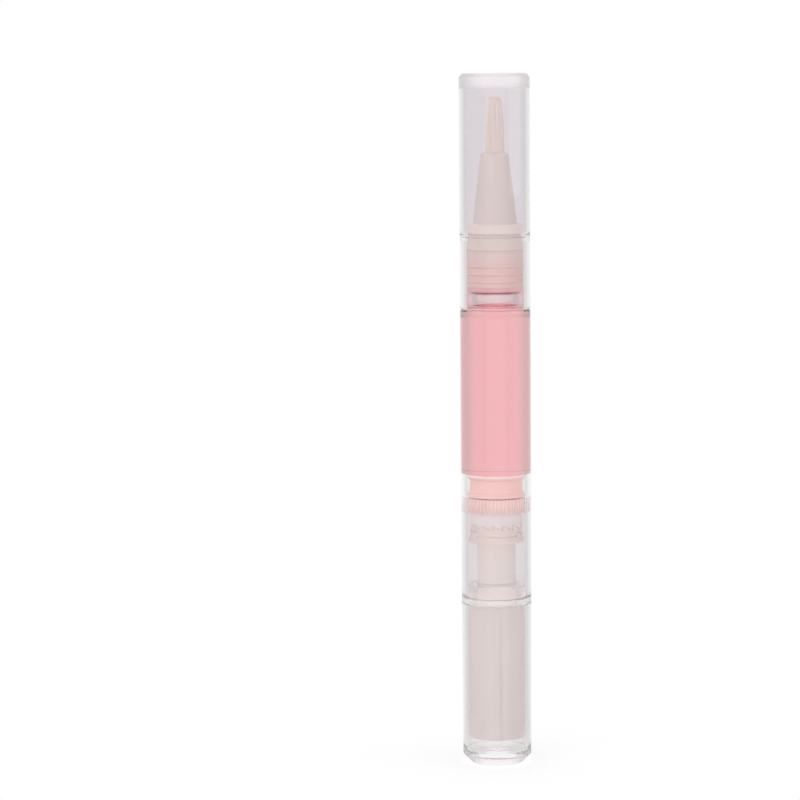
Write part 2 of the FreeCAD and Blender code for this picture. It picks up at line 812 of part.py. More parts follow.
def make_cap():
    """Clear cap with a thick top and a snap bead inside."""
    body = new_body("cap")
    bead_floor = neck_top - size.cap_bead_height
    slope = size.cap_bead_height * BEAD_SLOPE_SHARE
    turn(body, "cap_wall", [
        (cap_bore, shoulder),
        (body_radius, shoulder),
        (body_radius, cap_end),
        (AXIS, cap_end),
        (AXIS, ceiling),
        (cap_bore, ceiling),
        (cap_bore, neck_top),
        (cap_bead, neck_top - slope),
        (cap_bead, bead_floor + slope),
        (cap_bore, bead_floor),
    ])
    bevel(body, "cap_edge", size.cap_bevel, [(body_radius, cap_end)])
    bevel(body, "cap_ceiling", size.cap_ceiling_bevel, [(cap_bore, ceiling)])
    bevel(body, "cap_rim", size.cap_rim_bevel, [(body_radius, shoulder)])
    return body


MAKERS = (
    make_knob_shell,
    make_drive_sleeve,
    make_rear_collar,
    make_barrel,
    make_screw_nut,
    make_ratchet_spring,
    make_screw_rod,
    make_piston,
    make_oil_fill,
    make_plug_oil,
    make_brush_holder,
    make_feed_tube,
    make_bristle_root,
    make_bristle_tuft,
    make_cap,
)


def check_document(bodies):
    """Stop if any feature failed or any piece isn't one sound solid."""
    for thing in doc.Objects:
        if "Invalid" in thing.State or "Error" in thing.State:
            raise RuntimeError(f"{thing.Name} failed: {thing.State}")
    for body in bodies:
        shape = body.Shape
        if shape.isNull() or not shape.isValid() or len(shape.Solids) != 1:
            raise RuntimeError(f"{body.Label} is not one valid solid")


bodies = [make() for make in MAKERS]
doc.recompute()
check_document(bodies)
os.makedirs("parts", exist_ok=True)
for body in bodies:
    body.Shape.exportStep(f"parts/{body.Label}.step")
    box = body.Shape.BoundBox
    print(f"{body.Label}: {body.Shape.Volume:.1f} mm3, Z {box.ZMin:.2f} to {box.ZMax:.2f}")
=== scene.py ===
import math
import random

import bpy
import bmesh
from bpy.props import FloatProperty, FloatVectorProperty, IntProperty, PointerProperty
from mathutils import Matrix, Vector


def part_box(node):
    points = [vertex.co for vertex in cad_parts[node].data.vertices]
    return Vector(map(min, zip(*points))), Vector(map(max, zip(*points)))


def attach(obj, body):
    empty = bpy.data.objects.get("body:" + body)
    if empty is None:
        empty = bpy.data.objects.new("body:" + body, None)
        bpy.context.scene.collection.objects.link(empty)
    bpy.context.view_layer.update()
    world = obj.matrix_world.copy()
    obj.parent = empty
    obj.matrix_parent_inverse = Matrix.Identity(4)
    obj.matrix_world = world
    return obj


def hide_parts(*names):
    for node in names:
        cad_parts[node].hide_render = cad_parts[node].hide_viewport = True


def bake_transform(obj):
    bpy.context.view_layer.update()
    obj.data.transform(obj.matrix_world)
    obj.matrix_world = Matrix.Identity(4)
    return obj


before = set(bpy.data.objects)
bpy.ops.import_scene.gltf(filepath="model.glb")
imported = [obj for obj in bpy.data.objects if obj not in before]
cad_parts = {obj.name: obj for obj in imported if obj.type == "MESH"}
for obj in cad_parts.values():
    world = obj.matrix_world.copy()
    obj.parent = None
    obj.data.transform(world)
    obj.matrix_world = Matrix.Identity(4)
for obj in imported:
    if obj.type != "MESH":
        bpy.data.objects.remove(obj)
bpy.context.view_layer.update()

bl_info = {
    "name": "Nail oil pen",
    "version": (1, 0, 0),
    "blender": (4, 5, 0),
    "location": "View3D > Sidebar > Pen",
    "description": "Clear shells, pink oil, white holder and bristles on the packed pen",
    "category": "Object",
}

MM = 0.001
DECIMALS = 6  # places kept of a corner's radius and height, in metres
SAME = 1e-6  # lengths closer than this count as one
STRAIGHT = 0.9999  # cosine above which two directions count as one
SHALLOW = math.radians(150)  # a corner wider than this is drawn as one long bend
SIDE_SHARE = 0.4  # share of a side that a rounded corner may take
HOLD_SHARE = 0.3  # from an arc's end to the point that keeps its side straight, in reaches
RIB_BAND = 0.05 * MM  # what lies this close to the largest radius is the crest of a rib
ROD_CREASE, BRISTLE_CREASE = math.radians(35), math.radians(80)  # sharper edges stay hard
BRISTLE_SEED = 7
BRISTLE_LEVELS = (0.2, 0.39, 0.57, 0.74, 0.89, 1.0)  # rings of a bristle between mouth and tip
GOLDEN_TURN = math.pi * (3 - math.sqrt(5))  # bearing from one bristle to the next

# Patterns in the finishes, in spots to a metre
FLOW_SPOTS = 120
POLISH_SPOTS = 700
MOULDED_SPOTS = 260
STAIN_AND_GLOW_SPOTS = 240
GRAIN_SPOTS = 5200
STREAK_SPOTS = 3800
OIL_SPOTS = 90
PAPER_SPOTS = 900

# Lamps: name, place, width and power
LAMPS = (
    ("key_lamp", (-0.45, -0.55, 0.55), 0.7, 1.7),
    ("side_lamp", (0.6, -0.25, 0.35), 0.6, 0.9),
    ("top_lamp", (0.0, 0.1, 0.8), 0.6, 0.9),
)
LAMPS_FACE = Vector((0, 0, 0.07))


def length(name, default, description):
    """A length in metres that the user may change."""
    return FloatProperty(name=name, description=description, default=default, unit="LENGTH",
                         precision=5)


def share(name, default, description):
    """A share between nothing and all."""
    return FloatProperty(name=name, description=description, default=default, min=0, max=1,
                         subtype="FACTOR")


def colour(name, default, description):
    """A colour that the user may change."""
    return FloatVectorProperty(name=name, description=description, default=default, size=3,
                               min=0, max=1, subtype="COLOR")


class PenSizes(bpy.types.PropertyGroup):
    """Sizes that the solids don't carry: rounded edges, the oil's surface, thread and bristles."""

    steps: IntProperty(name="Steps", description="Faces round a turned piece", default=160, min=24)
    clear_edge: length("Clear edges", 0.22 * MM, "Rounding of the clear shells' edges")
    soft_edge: length("Moulded edges", 0.12 * MM, "Rounding of the moulded pieces' edges")
    cap_edge: length("Cap edges", 0.5 * MM, "Rounding of the edges at the cap's closed end")
    foot_edge: length("Foot edges", 0.4 * MM, "Rounding of the edges at the knob's closed end")
    rim_edge: length("Rim edges", 0.1 * MM, "Rounding of the rims where two shells meet")
    lip_edge: length("Lip edges", 0.15 * MM, "Rounding of the piston's lips")
    oil_edge: length("Oil edges", 0.05 * MM, "Rounding of the oil's edges")
    rim_gap: length("Rim gap", 0.1 * MM, "Gap between the cap's rim and the barrel's shoulder")
    rim_close: length("Rim closing", 0.11 * MM, "How far the collar's bevelled rims close up")
    knob_side_lift: length("Knob side lift", 0.275 * MM, "How far the knob's side is raised")
    knob_rim_lift: length("Knob rim lift", 0.1375 * MM, "How far the knob's rim is raised")
    satin_depth: length("Satin depth", 2.8 * MM, "Depth of the satin at the cap's closed end")
    contact: length("Contact", 0.035 * MM, "How far pieces pressed together reach into each other")
    wetting: length("Wetting", 0.04 * MM, "How far the oil reaches into the walls that it wets")
    soaking: length("Soaking", 0.45 * MM, "How far the oil in the plug reaches into the holder")
    bubble_bluntness: share("Bubble bluntness", 0.3,
                            "Power of the air bubble's outline, blunter if smaller")
    bubble_sag: length("Bubble sag", 0.9 * MM, "How far the air bubble hangs into the oil")
    film_rise: length("Film rise", 7.25 * MM, "How far the oil creeps up between plug and neck")
    thread_pitch: length("Thread pitch", 1.5 * MM, "Pitch of the rod's two-start thread")
    thread_depth: length("Thread depth", 0.35 * MM, "Depth of the rod's thread")
    head_length: length("Head length", 3.0 * MM, "Neck and head at the rod's upper end")
    bristle_count: IntProperty(name="Bristles", description="Filaments in the tuft", default=430,
                               min=20)
    bristle_trim: length("Bristle trim", 0.4 * MM,
                         "How far the filaments end below their solid's tip")
    bristle_stray: length("Bristle stray", 0.05 * MM, "How far a filament's tip strays")
    bristle_ragged: length("Ragged tip", 0.7 * MM, "Spread of the filaments' lengths")


class PenColours(bpy.types.PropertyGroup):
    """Colours of the finishes."""

    cap_tint: colour("Cap", (0.865, 0.835, 0.855), "Tint of the cap's clear plastic")
    lip_tint: colour("Cap's foot", (0.935, 0.897, 0.905), "Tint of the cap round the neck")
    barrel_tint: colour("Barrel", (0.965, 0.955, 0.96), "Tint of the barrel round the oil")
    smoke_tint: colour("Barrel's foot", (0.885, 0.855, 0.865), "Tint of the barrel below the oil")
    knob_tint: colour("Knob", (0.885, 0.86, 0.868), "Tint of the knob's clear plastic")
    foot_tint: colour("Knob's foot", (0.94, 0.925, 0.93), "Tint of the knob below the sleeve")
    white: colour("White plastic", (0.93, 0.86, 0.82), "Drive sleeve and rod")
    cone: colour("Cone", (0.82, 0.735, 0.69), "The holder's cone")
    # Oil-damp white, brightened as painted light for the flange's highlight and for the light lost
    # inside the neck
    damp_with_painted_light: colour("Damp plastic", (0.95, 0.85, 0.81), "The holder's flange and seat")
    # The oil's pink on the plug, brightened as painted light for the light lost inside the neck
    soaked: colour("Soaked plastic", (0.995, 0.77, 0.72), "The holder's plug round the oil")
    collar: colour("Collar", (0.97, 0.95, 0.945), "The half-clear collar")
    natural: colour("Natural plastic", (0.965, 0.905, 0.885), "Ratchet, nut and feed tube")
    # Painted pink glow on the nut of light that has passed through the oil and the piston
    nut_pink_glow: colour("Blushed plastic", (0.985, 0.79, 0.755), "The nut next to the piston")
    # Painted pink glow of light that has passed through the oil into the piston
    piston_pink_glow: colour("Pink plastic", (0.97, 0.63, 0.60), "The piston where it meets the oil")
    nylon: colour("Nylon", (0.97, 0.885, 0.83), "Bristles")
    oil_keeps: colour("Oil", (0.982, 0.037, 0.104), "Light that the oil lets pass")
    oil_density: FloatProperty(name="Oil depth", description="Absorption of the oil for each metre",
                               default=62, min=0)
    plug_density: FloatProperty(name="Plug oil depth", description="Absorption of the plug's oil",
                                default=105, min=0)


class PenStage(bpy.types.PropertyGroup):
    """Camera, background and floor."""

    eye: FloatVectorProperty(name="Eye", description="Place of the camera", size=3,
                             default=(-0.0182, -0.5655, 0.1398), unit="LENGTH", subtype="XYZ")
    pitch: FloatProperty(name="Pitch", description="How far the camera looks down",
                         default=math.radians(6.8), subtype="ANGLE")
    roll: FloatProperty(name="Roll", description="How far the camera leans",
                        default=math.radians(0.5), subtype="ANGLE")
    lens: FloatProperty(name="Lens", description="Focal length", default=130.5, unit="CAMERA")
    bounces: IntProperty(name="Bounces", description="Turns of a ray in the clear pieces",
                         default=48, min=4)
    dull_bounces: IntProperty(name="Dull bounces", description="Turns of a ray between dull pieces",
                              default=16, min=2)
    ambient: share("Ambient", 0.8, "Background light on dull surfaces")
    inner_light: share("Inner light", 0.6, "What clear walls in front of a surface add to it")
    inner_walls: IntProperty(name="Inner walls", description="Clear faces that add all of it",
                             default=8, min=1)
    side_start: share("Side start", 0.09, "Where dimming to the sides starts, as a sine squared")
    side_end: share("Side end", 0.5, "Where dimming to the sides is full, as a sine squared")
    side_dim: share("Side dimming", 0.22, "How much darker the backdrop is to the sides of the pen")
    mirror_dim: share("Mirror dimming", 0.42, "How much darker the sides are in mirror reflections")
    floor_depth: length("Floor depth", 0.05 * MM, "Floor below the foot")
    floor_reach: length("Floor reach", 0.25, "Half the floor's width")
    shadow_reach: length("Shadow reach", 0.05, "How far from the pen its shadow shows")
    shadow_share: share("Shadow share", 0.35, "How much of the floor's white gives way to shade")
    # Under the foot the floor glows white: painted light in place of the light that the clear foot
    # gathers onto it
    painted_light_radius: FloatProperty(name="Bare floor", description="Floor with no shade, in knob radii",
                              default=0.85, min=0)
    full_shade: FloatProperty(name="Full shade", description="Start of full shade, in knob radii",
                              default=1.3, min=0)


class Field:
    """A socket whose arithmetic adds Math nodes to its tree."""

    def __init__(self, tree, socket):
        self.tree = tree
        self.socket = socket

    def math(self, operation, *values):
        return self.tree.add("ShaderNodeMath", {"operation": operation}, dict(enumerate(values)))

    def __add__(self, other):
        return self.math("ADD", self, other)

    __radd__ = __add__

    def __sub__(self, other):
        return self.math("SUBTRACT", self, other)

    def __rsub__(self, other):
        return self.math("SUBTRACT", other, self)

    def __mul__(self, other):
        return self.math("MULTIPLY", self, other)

    __rmul__ = __mul__

    def __gt__(self, other):
        return self.math("GREATER_THAN", self, other)


class Tree:
    """A node tree, filled through one method."""

    def __init__(self, owner):
        owner.use_nodes = True
        self.nodes = owner.node_tree.nodes
        self.links = owner.node_tree.links
        self.nodes.clear()

    def add(self, kind, settings=None, inputs=None, output=0):
        """Add a node, set it up, then fill its sockets with values or links."""
        node = self.nodes.new(kind)
        for name, value in (settings or {}).items():
            setattr(node, name, value)
        for name, value in (inputs or {}).items():
            if isinstance(value, Field):
                self.links.new(value.socket, node.inputs[name])
            else:
                node.inputs[name].default_value = value
        return Field(self, node.outputs[output]) if len(node.outputs) else None

    def places(self):
        """Places on the pen, in metres from the middle of its foot."""
        return self.add("ShaderNodeTexCoord", output="Object")

    def height(self):
        """Height above the foot, in metres."""
        return self.add("ShaderNodeSeparateXYZ", inputs={0: self.places()}, output="Z")

    def radius(self):
        """Distance from the pen's axis, in metres."""
        flat = self.add("ShaderNodeVectorMath", {"operation": "MULTIPLY"}, {
            0: self.places(), 1: (1, 1, 0)})
        return self.add("ShaderNodeVectorMath", {"operation": "LENGTH"}, {0: flat}, output="Value")

    def rise(self, value, start, finish):
        """Nothing at start, all at finish, and a smooth change between."""
        return self.add("ShaderNodeMapRange", {"interpolation_type": "SMOOTHSTEP"}, {
            "Value": value, "From Min": start, "From Max": finish})

    def noise(self, scale, detail=2.0, stretch=(1, 1, 1)):
        """Even cloudiness with grains of about one over scale."""
        grid = self.add("ShaderNodeMapping", inputs={"Vector": self.places(), "Scale": stretch})
        return self.add("ShaderNodeTexNoise", inputs={
            "Vector": grid, "Scale": scale, "Detail": detail})

    def mix(self, factor, first, second):
        """Blend two colours; the node's colour inputs are 6 and 7, its colour output is 2."""
        return self.add("ShaderNodeMix", {"data_type": "RGBA"}, {
            "Factor": factor, 6: rgba(first), 7: rgba(second)}, output=2)

    def bump(self, height, strength, distance):
        """A surface that rises with height."""
        return self.add("ShaderNodeBump", inputs={
            "Height": height, "Strength": strength, "Distance": distance})

    def path(self, kind):
        """What kind of ray looks at this point."""
        return self.add("ShaderNodeLightPath", output=kind)

    def lit_through(self, body, passing):
        """A surface through which a share of the lamps' light passes."""
        way = self.add("ShaderNodeBsdfTransparent", inputs={"Color": rgba((passing,) * 3)})
        return self.add("ShaderNodeMixShader", inputs={
            0: self.path("Is Shadow Ray"), 1: body, 2: way})


def rgba(tone):
    """A colour with full cover; links pass as they are."""
    return tone if isinstance(tone, Field) else (*tone, 1.0)


def shaded(tone, amount):
    """A colour made darker by a share."""
    return tuple(channel * (1 - amount) for channel in tone)


def new_finish(name):
    """An empty material and its tree."""
    material = bpy.data.materials.new(name)
    return material, Tree(material)


def clear_plastic(name, tint, foot_tint, line, satin_start):
    """Polished clear moulding: a light tint, another below line, and satin above satin_start."""
    above, under, blur = 1.5 * MM, 0.5 * MM, 1.0 * MM  # where the tints meet, round the line
    satin_fade, satin_roughness = 0.3 * MM, 0.26
    material, tree = new_finish(name)
    flow = tree.noise(FLOW_SPOTS, stretch=(1, 1, 0.25))
    below = tree.rise(tree.height() + flow * blur, line + above, line - under)
    both_tints = tree.mix(below, tint, foot_tint)
    satin = tree.rise(tree.height(), satin_start - satin_fade, satin_start)
    body = tree.add("ShaderNodeBsdfPrincipled", inputs={
        "Base Color": tree.mix(flow * 0.03, both_tints, (0.0, 0.0, 0.0)),
        "Roughness": 0.01 + tree.noise(POLISH_SPOTS) * 0.02 + satin * satin_roughness,
        "IOR": 1.5,
        "Transmission Weight": 1.0,
        "Normal": tree.bump(flow, 0.02, 0.02 * MM),
    })
    tree.add("ShaderNodeOutputMaterial", inputs={"Surface": tree.lit_through(body, 1.0)})
    return material


def moulded_plastic(name, tone, clearness=0.0, roughness=0.4, passing=0.0):
    """Moulding of a cloudy colour and a fine grain; a share of the lamps' light may pass."""
    material, tree = new_finish(name)
    cloud = tree.noise(MOULDED_SPOTS, detail=3)
    grain = tree.noise(GRAIN_SPOTS, detail=1)
    body = tree.add("ShaderNodeBsdfPrincipled", inputs={
        "Base Color": tree.mix(cloud, tone, shaded(tone, 0.05)),
        "Roughness": roughness + grain * 0.08,
        "IOR": 1.49,
        "Transmission Weight": clearness,
        "Normal": tree.bump(grain, 0.08, 0.01 * MM),
    })
    tree.add("ShaderNodeOutputMaterial", inputs={"Surface": tree.lit_through(body, passing)})
    return material


def stain_and_glow_plastic(name, tone, stain_and_glow, plain_at, full_at, tone_band=None, plain_part=None, passing=0.0):
    """White plastic with a mark: plain at the height plain_at, fully marked at the height full_at.

    On the holder the mark is the oil's pink stain, brightened as painted light; on the piston and
    the nut it is a painted pink glow of light that has passed through the oil. A tone band is a
    further colour with the heights where its own change starts and ends; on the holder it is
    oil-damp white brightened as painted light. The plain part, within a radius and above a height,
    takes no mark. Passing is the share of the lamps' light that shines through.
    """
    uneven, core_fade, lip_fade = 0.5 * MM, 0.03 * MM, 0.2 * MM
    material, tree = new_finish(name)
    cloud = tree.noise(STAIN_AND_GLOW_SPOTS, detail=3)
    grain = tree.noise(GRAIN_SPOTS, detail=1)
    depth = tree.rise(tree.height() + (cloud - 0.5) * uneven, plain_at, full_at)
    if plain_part:
        core, lip = plain_part
        depth = (depth * tree.rise(tree.radius(), core - core_fade, core + core_fade)
                 * tree.rise(tree.height(), lip, lip - lip_fade))
    plain = tree.mix(cloud, tone, shaded(tone, 0.05))
    if tone_band:
        plain = tree.mix(tree.rise(tree.height(), *tone_band[1:]), plain, tone_band[0])
    body = tree.add("ShaderNodeBsdfPrincipled", inputs={
        "Base Color": tree.mix(depth, plain, stain_and_glow),
        "Roughness": 0.4 + grain * 0.1,
        "Normal": tree.bump(grain, 0.08, 0.01 * MM),
    })
    tree.add("ShaderNodeOutputMaterial", inputs={"Surface": tree.lit_through(body, passing)})
    return material


def bristle_nylon(name, tone):
    """Fine filaments: pale streaks along their length."""
    material, tree = new_finish(name)
    streak = tree.noise(STREAK_SPOTS, stretch=(1, 1, 0.03))
    body = tree.add("ShaderNodeBsdfPrincipled", inputs={
        "Base Color": tree.mix(streak, shaded(tone, 0.08), tone),
        "Roughness": 0.38 + streak * 0.15,
        "Normal": tree.bump(streak, 0.15, 0.02 * MM),
    })
    tree.add("ShaderNodeOutputMaterial", inputs={"Surface": body})
    return material


def pink_oil(name, keeps, density):
    """Clear oil that takes its pink from depth."""
    material, tree = new_finish(name)
    body = tree.add("ShaderNodeBsdfPrincipled", inputs={
        "Base Color": tree.mix(tree.noise(OIL_SPOTS), (1.0, 0.995, 0.995), (1.0, 0.985, 0.985)),
        "Roughness": 0.0,
        "IOR": 1.47,
        "Transmission Weight": 1.0,
    })
    depth = tree.add("ShaderNodeVolumeAbsorption", inputs={
        "Color": rgba(keeps), "Density": density})
    tree.add("ShaderNodeOutputMaterial", inputs={
        "Surface": tree.lit_through(body, 1.0), "Volume": depth})
    return material


def heading(spot, other):
    """Direction from one point of an outline to another."""
    return (Vector(other) - Vector(spot)).normalized()


def outline_of(node):
    """Corners of a turned CAD solid in order, as (radius, height), from its foot."""
    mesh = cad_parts[node].data
    spots = [(round(math.hypot(v.co.x, v.co.y), DECIMALS), round(v.co.z, DECIMALS))
             for v in mesh.vertices]
    ways = {spot: [] for spot in spots}
    for edge in mesh.edges:
        ends = [spots[end] for end in edge.vertices]
        for spot, other in (ends, reversed(ends)):
            way = heading(spot, other)
            if spot != other and all(way.dot(known) < STRAIGHT for known in ways[spot]):
                ways[spot].append(way)
    corners = {spot: found for spot, found in ways.items()
               if len(found) != 2 or found[0].dot(found[1]) > -STRAIGHT}
    if any(len(found) > 2 for found in corners.values()):
        raise RuntimeError(f"{node} is not a plain turned solid")
    tips = [spot for spot, found in corners.items() if len(found) == 1]
    chain = [min(tips or corners, key=lambda spot: (spot[1], spot[0]))]
    while True:
        here = chain[-1]
        ahead = [
            min((other for other in corners
                 if other != here and heading(here, other).dot(way) > STRAIGHT),
                key=lambda other: (Vector(other) - Vector(here)).length)
            for way in corners[here]
        ]
        fresh = [spot for spot in ahead if spot not in chain]
        if not fresh:
            break
        chain.append(fresh[0])
    if tips:
        chain = [(0.0, chain[0][1]), *chain, (0.0, chain[-1][1])]
    return chain


def lifted(outline, level, gap):
    """The outline with its corners at one height moved up by gap."""
    return [(radius, height + gap if abs(height - level) < SAME else height)
            for radius, height in outline]


def rounded(outline, radius, spans=(), bends=5):
    """The outline with its corners turned into small arcs, and a point close to each arc's ends.

    Each span is a low height, a high height and the radius that corners between them get.
    """
    closed = outline[0][0] > 0
    points = [Vector(point) for point in outline]
    count = len(points)
    result = []
    for place, corner in enumerate(points):
        if not closed and place in (0, count - 1):
            result.append(corner)
            continue
        back = points[place - 1] - corner
        ahead = points[(place + 1) % count] - corner
        turn = back.angle(ahead)
        bend = next((own for low, high, own in spans if low <= corner.y <= high), radius)
        most = SIDE_SHARE * min(back.length, ahead.length)
        reach = most if turn > SHALLOW else min(most, bend / math.tan(turn / 2))
        first = corner + back.normalized() * reach
        final = corner + ahead.normalized() * reach
        hold = HOLD_SHARE * reach
        result.append(first + back.normalized() * hold)
        for step in range(bends + 1):
            t = step / bends
            result.append(first.lerp(corner, t).lerp(corner.lerp(final, t), t))
        result.append(final + ahead.normalized() * hold)
    return [(point.x, point.y) for point in result], closed


def skin(shape, rings, steps):
    """Faces from each ring of points to the next; a ring of one point closes an end."""
    faces = []
    for lower, upper in zip(rings, rings[1:]):
        for step in range(steps):
            ahead = (step + 1) % steps
            corners = [lower[step % len(lower)], lower[ahead % len(lower)],
                       upper[ahead % len(upper)], upper[step % len(upper)]]
            faces.append(shape.faces.new(dict.fromkeys(corners)))
    return faces


def spin(shape, outline, steps, closed):
    """Turn an outline about the pen's axis into a mesh, and give back its faces."""
    rings = []
    for radius, height in outline:
        if radius < SAME:
            rings.append([shape.verts.new((0, 0, height))])
            continue
        rings.append([
            shape.verts.new((radius * math.cos(math.tau * step / steps),
                             radius * math.sin(math.tau * step / steps), height))
            for step in range(steps)
        ])
    if closed:
        rings.append(rings[0])
    faces = skin(shape, rings, steps)
    bmesh.ops.recalc_face_normals(shape, faces=faces)
    return faces


def turned(name, outline, steps, closed=False, hollow=None):
    """A piece turned from an outline about the pen's axis, with another outline hollowed out."""
    shape = bmesh.new()
    spin(shape, outline, steps, closed)
    if hollow:
        bmesh.ops.reverse_faces(shape, faces=spin(shape, hollow, steps, False))
    return piece_from(name, shape)


def piece_from(name, shape):
    """A smooth object in the scene from a finished bmesh."""
    mesh = bpy.data.meshes.new(name)
    shape.to_mesh(mesh)
    shape.free()
    mesh.shade_smooth()
    piece = bpy.data.objects.new(name, mesh)
    bpy.context.scene.collection.objects.link(piece)
    return piece


def settle(piece, body, slot, material, *nodes):
    """Give a piece its finish and its body, and hide the CAD nodes that it stands for."""
    piece.data.materials.append(material)
    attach(piece, body)
    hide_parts(*nodes)


def dress(node, material):
    """Give a CAD node that stays in view its finish."""
    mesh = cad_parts[node].data
    mesh.materials.clear()
    mesh.materials.append(material)


def turned_round(name, outline, edge, steps, spans=()):
    """A finely turned piece with its edges rounded."""
    points, closed = rounded(outline, edge, spans)
    return turned(name, points, steps, closed)


def pressed_in(name, node, reach):
    """A copy of a CAD node whose outermost ribs are pressed out to reach."""
    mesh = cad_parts[node].data.copy()
    mesh.materials.clear()
    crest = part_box(node)[1].x
    for vertex in mesh.vertices:
        radius = math.hypot(vertex.co.x, vertex.co.y)
        if radius > crest - RIB_BAND:
            vertex.co.x *= reach / radius
            vertex.co.y *= reach / radius
    piece = bpy.data.objects.new(name, mesh)
    bpy.context.scene.collection.objects.link(piece)
    return piece


class PEN_OT_clear_shells(bpy.types.Operator):
    """Cap, barrel and knob of clear plastic"""

    bl_idname = "pen.clear_shells"
    bl_label = "Clear shells"

    def execute(self, context):
        sizes, colours = context.scene.pen_sizes, context.scene.pen_colours
        margin, below_tube = 0.5 * MM, 1.0 * MM
        cap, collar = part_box("cap"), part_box("rear_collar")
        tube_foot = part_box("drive_sleeve")[0].z
        shells = (
            ("clear_cap", "cap", "cap", colours.cap_tint, colours.lip_tint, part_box("barrel")[1].z),
            ("clear_barrel", "barrel", "barrel", colours.barrel_tint, colours.smoke_tint,
             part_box("piston")[0].z),
            ("clear_knob", "knob_shell", "knob", colours.knob_tint, colours.foot_tint,
             tube_foot - below_tube),
        )
        spans = ((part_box("bristle_tuft")[1].z, cap[1].z, sizes.cap_edge),
                 (collar[0].z - margin, collar[1].z, sizes.rim_edge),
                 (cap[0].z, cap[0].z + margin, sizes.rim_edge),
                 (0.0, tube_foot, sizes.foot_edge))
        satin_start = cap[1].z - sizes.satin_depth
        for name, node, body, tint, foot_tint, line in shells:
            outline = outline_of(node)
            if node == "cap":
                outline = lifted(outline, cap[0].z, sizes.rim_gap)
            if node == "knob_shell":
                side = max(height for radius, height in outline if radius == max(outline)[0])
                outline = lifted(outline, side, sizes.knob_side_lift)
                outline = lifted(outline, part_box(node)[1].z, sizes.knob_rim_lift)
            shell = turned_round(name, outline, sizes.clear_edge, sizes.steps, spans)
            plastic = clear_plastic(name + "_plastic", tuple(tint), tuple(foot_tint), line,
                                    satin_start)
            settle(shell, body, "clear_plastic", plastic, node)
        return {"FINISHED"}


def blunt_oval(reach, low, high, bluntness, steps=24):
    """Outline of an air bubble, from its lowest point to its highest."""
    middle, half = (low + high) / 2, (high - low) / 2
    outline = []
    for step in range(steps + 1):
        angle = math.pi * (step / steps - 0.5)
        outline.append((reach * max(0.0, math.cos(angle)) ** bluntness,
                        middle + math.copysign(half * abs(math.sin(angle)) ** bluntness, angle)))
    outline[0], outline[-1] = (0.0, low), (0.0, high)
    return outline


class PEN_OT_oil(bpy.types.Operator):
    """Oil over the air in the piston's cup, a bubble under the plug, and the oil in the plug"""

    bl_idname = "pen.oil"
    bl_label = "Oil"

    def execute(self, context):
        sizes, colours = context.scene.pen_sizes, context.scene.pen_colours
        material = pink_oil("pink_oil", tuple(colours.oil_keeps), colours.oil_density)
        outline, plug = outline_of("oil_fill"), outline_of("plug_oil")
        bore = max(radius for radius, height in outline)
        bore_end = max(height for radius, height in outline if radius == bore)
        piston_top = min(height for radius, height in outline if radius == bore)
        surface = outline[-1][1]
        # Corners of the plug's oil: the bubble's top, its edge, the neck, and last the plug's bore
        bubble_top, bubble_reach = plug[0][1], plug[2][0]
        neck = plug[3][0] + sizes.wetting
        plug_bore, level = plug[-2]
        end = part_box("brush_holder")[0].z
        column = [(0.0, piston_top), (bore + sizes.wetting, piston_top)]
        column += [(radius + sizes.wetting, height) for radius, height in outline
                   if piston_top + SAME < height < surface - SAME]
        column += [(neck, end + sizes.contact), (0.0, end + sizes.contact)]
        bubble = blunt_oval(bubble_reach, surface - sizes.bubble_sag, bubble_top,
                            sizes.bubble_bluntness)
        oil = turned("oil_column", rounded(column, sizes.oil_edge)[0], sizes.steps, hollow=bubble)
        oil.data.materials.append(material)
        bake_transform(oil)
        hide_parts("oil_fill")
        inside, film_top = plug_bore + sizes.soaking, end + sizes.film_rise
        soaked = [(0.0, end), (neck, end), (neck, film_top), (inside, film_top), (inside, level),
                  (0.0, level)]
        hanging = turned("oil_in_plug", rounded(soaked, sizes.oil_edge)[0], sizes.steps)
        deeper = pink_oil("plug_oil", tuple(colours.oil_keeps), colours.plug_density)
        settle(hanging, "barrel", "oil", deeper, "plug_oil")
        return {"FINISHED"}


class PEN_OT_holder(bpy.types.Operator):
    """White brush holder: cone, flange and plug with sealing rings"""

    bl_idname = "pen.holder"
    bl_label = "Brush holder"

    def execute(self, context):
        sizes, colours = context.scene.pen_sizes, context.scene.pen_colours
        stain_and_light_fade, damp_light_start, damp_light_end = 1.5 * MM, 0.5 * MM, 0.2 * MM
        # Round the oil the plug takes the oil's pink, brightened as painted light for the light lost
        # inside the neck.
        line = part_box("plug_oil")[1].z
        neck_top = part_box("barrel")[1].z
        outline = outline_of("brush_holder")
        flange = max(height for radius, height in outline if radius == max(outline)[0])
        # Below the flange the white is damp with oil and brightened as painted light, for the
        # flange's highlight and the light lost inside the neck.
        material = stain_and_glow_plastic("holder_plastic", tuple(colours.cone), tuple(colours.soaked),
                                   line + stain_and_light_fade, line - stain_and_light_fade,
                                   (tuple(colours.damp_with_painted_light), flange + damp_light_start, flange + damp_light_end))
        seal = max(radius for radius, height in outline if height < neck_top - SAME)
        pressed = [(radius + 2 * sizes.contact if abs(radius - seal) < SAME else radius, height)
                   for radius, height in lifted(outline, neck_top, -sizes.contact)]
        holder = turned_round("white_holder", pressed, sizes.soft_edge, sizes.steps)
        settle(holder, "barrel", "white_plastic", material, "brush_holder")
        return {"FINISHED"}


